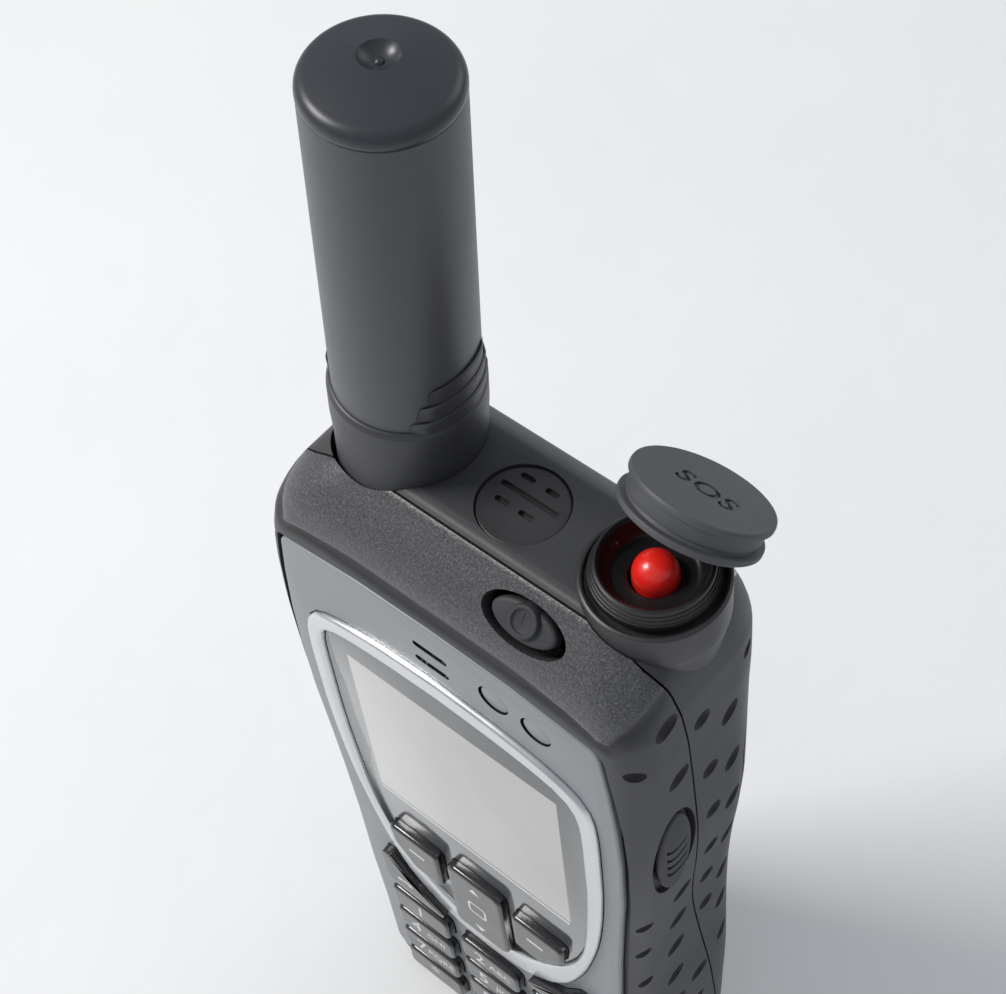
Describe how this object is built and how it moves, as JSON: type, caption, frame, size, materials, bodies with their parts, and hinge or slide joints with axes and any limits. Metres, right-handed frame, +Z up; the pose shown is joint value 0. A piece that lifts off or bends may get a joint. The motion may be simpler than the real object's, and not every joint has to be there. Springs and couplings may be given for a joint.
{
  "type": "satellite distress telephone",
  "caption": "Rugged handheld satellite telephone that sends its position in distress: keypad, display, telescopic swivelling antenna, red emergency button under a flip cap.",
  "frame": {"origin": "centre of the bottom of the upright telephone", "axes": "+X to the right seen from the front, the keypad and display face -Y, +Z up along the casing"},
  "size_m": [0.0616, 0.0304, 0.1987],
  "materials": {
    "front_housing": "fine spark-textured hard plastic",
    "rear_housing": "soft-touch with moulded grip dimples",
    "battery_pack": "soft-touch",
    "battery_latch": "fine texture",
    "battery_contact_1": "gold plated",
    "battery_contact_2": "gold plated",
    "faceplate": "satin grey",
    "status_lens": "gloss",
    "light_sensor_lens": "gloss",
    "trim_ring": "satin chrome",
    "display_window": "gloss",
    "display_panel": "reflective display",
    "keypad_mat": "moulded",
    "power_key": "satin",
    "side_key": "ribbed",
    "volume_key": "satin",
    "antenna_port_plug": "matte",
    "antenna_collar": "satin",
    "antenna_tube": "satin",
    "antenna_cap": "satin",
    "antenna_helix_core": "copper on a carrier",
    "antenna_pivot_front": "turned",
    "antenna_pivot_rear": "turned",
    "sos_neck": "satin black",
    "sos_button": "gloss red",
    "sos_switch": "plain",
    "sos_cap": "matte",
    "cap_strap": "matte",
    "cap_hinge_pin": "turned",
    "main_board": "solder mask",
    "radio_shield": "tinned",
    "loudspeaker": "plain",
    "speaker_grille": "fine texture",
    "earpiece": "plain",
    "microphone": "plain",
    "gps_patch_antenna": "ceramic",
    "sim_holder": "pressed",
    "data_connector": "plain",
    "port_cover": "matte",
    "case_screw_1": "turned",
    "case_screw_2": "turned",
    "case_screw_3": "turned",
    "case_screw_4": "turned",
    "key_soft_left": "gloss black",
    "key_soft_right": "gloss black",
    "key_navigation": "gloss black",
    "key_call": "gloss black",
    "key_end": "gloss black",
    "key_1": "gloss black",
    "key_2": "gloss black",
    "key_3": "gloss black",
    "key_4": "gloss black",
    "key_5": "gloss black",
    "key_6": "gloss black",
    "key_7": "gloss black",
    "key_8": "gloss black",
    "key_9": "gloss black",
    "key_star": "gloss black",
    "key_0": "gloss black",
    "key_hash": "gloss black"
  },
  "bodies": {
    "telephone": {"front_housing": "front_housing", "rear_housing": "rear_housing", "battery_pack": "battery_pack", "battery_contact_1": "battery_contact_1", "battery_contact_2": "battery_contact_2", "faceplate": "faceplate", "status_lens": "status_lens", "light_sensor_lens": "light_sensor_lens", "trim_ring": "trim_ring", "display_window": "display_window", "display_panel": "display_panel", "keypad_mat": "keypad_mat", "sos_neck": "sos_neck", "sos_switch": "sos_switch", "cap_hinge_pin": "cap_hinge_pin", "main_board": "main_board", "radio_shield": "radio_shield", "loudspeaker": "loudspeaker", "speaker_grille": "speaker_grille", "earpiece": "earpiece", "microphone": "microphone", "gps_patch_antenna": "gps_patch_antenna", "sim_holder": "sim_holder", "data_connector": "data_connector", "case_screw_1": "case_screw_1", "case_screw_2": "case_screw_2", "case_screw_3": "case_screw_3", "case_screw_4": "case_screw_4"},
    "antenna_base": {"antenna_collar": "antenna_collar", "antenna_pivot_front": "antenna_pivot_front", "antenna_pivot_rear": "antenna_pivot_rear"},
    "antenna_mast": {"antenna_tube": "antenna_tube", "antenna_cap": "antenna_cap", "antenna_helix_core": "antenna_helix_core"},
    "distress_cap": {"sos_cap": "sos_cap", "cap_strap": "cap_strap"},
    "distress_button": {"sos_button": "sos_button"},
    "power_button": {"power_key": "power_key"},
    "side_button": {"side_key": "side_key"},
    "volume_button": {"volume_key": "volume_key"},
    "latch": {"battery_latch": "battery_latch"},
    "port_flap": {"port_cover": "port_cover"},
    "port_plug": {"antenna_port_plug": "antenna_port_plug"},
    "key_soft_left_cap": {"key_soft_left": "key_soft_left"},
    "key_soft_right_cap": {"key_soft_right": "key_soft_right"},
    "key_navigation_cap": {"key_navigation": "key_navigation"},
    "key_call_cap": {"key_call": "key_call"},
    "key_end_cap": {"key_end": "key_end"},
    "key_1_cap": {"key_1": "key_1"},
    "key_2_cap": {"key_2": "key_2"},
    "key_3_cap": {"key_3": "key_3"},
    "key_4_cap": {"key_4": "key_4"},
    "key_5_cap": {"key_5": "key_5"},
    "key_6_cap": {"key_6": "key_6"},
    "key_7_cap": {"key_7": "key_7"},
    "key_8_cap": {"key_8": "key_8"},
    "key_9_cap": {"key_9": "key_9"},
    "key_star_cap": {"key_star": "key_star"},
    "key_0_cap": {"key_0": "key_0"},
    "key_hash_cap": {"key_hash": "key_hash"}
  },
  "joints": [
    {"name": "key_soft_left_press", "type": "slide", "parent": "telephone", "child": "key_soft_left_cap", "axis": [0, 1, 0], "range_m": [0, 0.0004], "stiffness_N_per_m": 400},
    {"name": "key_soft_right_press", "type": "slide", "parent": "telephone", "child": "key_soft_right_cap", "axis": [0, 1, 0], "range_m": [0, 0.0004], "stiffness_N_per_m": 400},
    {"name": "key_navigation_press", "type": "slide", "parent": "telephone", "child": "key_navigation_cap", "axis": [0, 1, 0], "range_m": [0, 0.0004], "stiffness_N_per_m": 400},
    {"name": "key_call_press", "type": "slide", "parent": "telephone", "child": "key_call_cap", "axis": [0, 1, 0], "range_m": [0, 0.0004], "stiffness_N_per_m": 400},
    {"name": "key_end_press", "type": "slide", "parent": "telephone", "child": "key_end_cap", "axis": [0, 1, 0], "range_m": [0, 0.0004], "stiffness_N_per_m": 400},
    {"name": "key_1_press", "type": "slide", "parent": "telephone", "child": "key_1_cap", "axis": [0, 1, 0], "range_m": [0, 0.0004], "stiffness_N_per_m": 400},
    {"name": "key_2_press", "type": "slide", "parent": "telephone", "child": "key_2_cap", "axis": [0, 1, 0], "range_m": [0, 0.0004], "stiffness_N_per_m": 400},
    {"name": "key_3_press", "type": "slide", "parent": "telephone", "child": "key_3_cap", "axis": [0, 1, 0], "range_m": [0, 0.0004], "stiffness_N_per_m": 400},
    {"name": "key_4_press", "type": "slide", "parent": "telephone", "child": "key_4_cap", "axis": [0, 1, 0], "range_m": [0, 0.0004], "stiffness_N_per_m": 400},
    {"name": "key_5_press", "type": "slide", "parent": "telephone", "child": "key_5_cap", "axis": [0, 1, 0], "range_m": [0, 0.0004], "stiffness_N_per_m": 400},
    {"name": "key_6_press", "type": "slide", "parent": "telephone", "child": "key_6_cap", "axis": [0, 1, 0], "range_m": [0, 0.0004], "stiffness_N_per_m": 400},
    {"name": "key_7_press", "type": "slide", "parent": "telephone", "child": "key_7_cap", "axis": [0, 1, 0], "range_m": [0, 0.0004], "stiffness_N_per_m": 400},
    {"name": "key_8_press", "type": "slide", "parent": "telephone", "child": "key_8_cap", "axis": [0, 1, 0], "range_m": [0, 0.0004], "stiffness_N_per_m": 400},
    {"name": "key_9_press", "type": "slide", "parent": "telephone", "child": "key_9_cap", "axis": [0, 1, 0], "range_m": [0, 0.0004], "stiffness_N_per_m": 400},
    {"name": "key_star_press", "type": "slide", "parent": "telephone", "child": "key_star_cap", "axis": [0, 1, 0], "range_m": [0, 0.0004], "stiffness_N_per_m": 400},
    {"name": "key_0_press", "type": "slide", "parent": "telephone", "child": "key_0_cap", "axis": [0, 1, 0], "range_m": [0, 0.0004], "stiffness_N_per_m": 400},
    {"name": "key_hash_press", "type": "slide", "parent": "telephone", "child": "key_hash_cap", "axis": [0, 1, 0], "range_m": [0, 0.0004], "stiffness_N_per_m": 400},
    {"name": "power_press", "type": "slide", "parent": "telephone", "child": "power_button", "axis": [0, 0.766, -0.6428], "range_m": [0, 0.0004], "stiffness_N_per_m": 400},
    {"name": "side_press", "type": "slide", "parent": "telephone", "child": "side_button", "axis": [-1, 0, 0], "range_m": [0, 0.0005], "stiffness_N_per_m": 400},
    {"name": "volume_press", "type": "slide", "parent": "telephone", "child": "volume_button", "axis": [1, 0, 0], "range_m": [0, 0.0005], "stiffness_N_per_m": 400},
    {"name": "distress_press", "type": "slide", "parent": "telephone", "child": "distress_button", "axis": [0, 0, -1], "range_m": [0, 0.001], "stiffness_N_per_m": 400},
    {"name": "distress_cap_hinge", "type": "hinge", "parent": "telephone", "child": "distress_cap", "pos_m": [0.0231, 0.00935, 0.1361], "axis": [-0.9947, 0.1028, 0], "range_deg": [-37.6, 50]},
    {"name": "antenna_tilt", "type": "hinge", "parent": "telephone", "child": "antenna_base", "pos_m": [-0.01398, 0.00075, 0.133], "axis": [0, 1, 0], "range_deg": [-9.8, 0]},
    {"name": "antenna_extend", "type": "slide", "parent": "antenna_base", "child": "antenna_mast", "axis": [0.0857, 0, 0.9963], "range_m": [-0.024, 0]},
    {"name": "latch_slide", "type": "slide", "parent": "telephone", "child": "latch", "axis": [0, 0, 1], "range_m": [0, 0.0033], "stiffness_N_per_m": 150},
    {"name": "port_flap_hinge", "type": "hinge", "parent": "telephone", "child": "port_flap", "pos_m": [0, -0.006, 0.00005], "axis": [1, 0, 0], "range_deg": [-110, 0]},
    {"name": "port_plug_pull", "type": "slide", "parent": "telephone", "child": "port_plug", "axis": [-1, 0, 0], "range_m": [0, 0.008]}
  ]
}
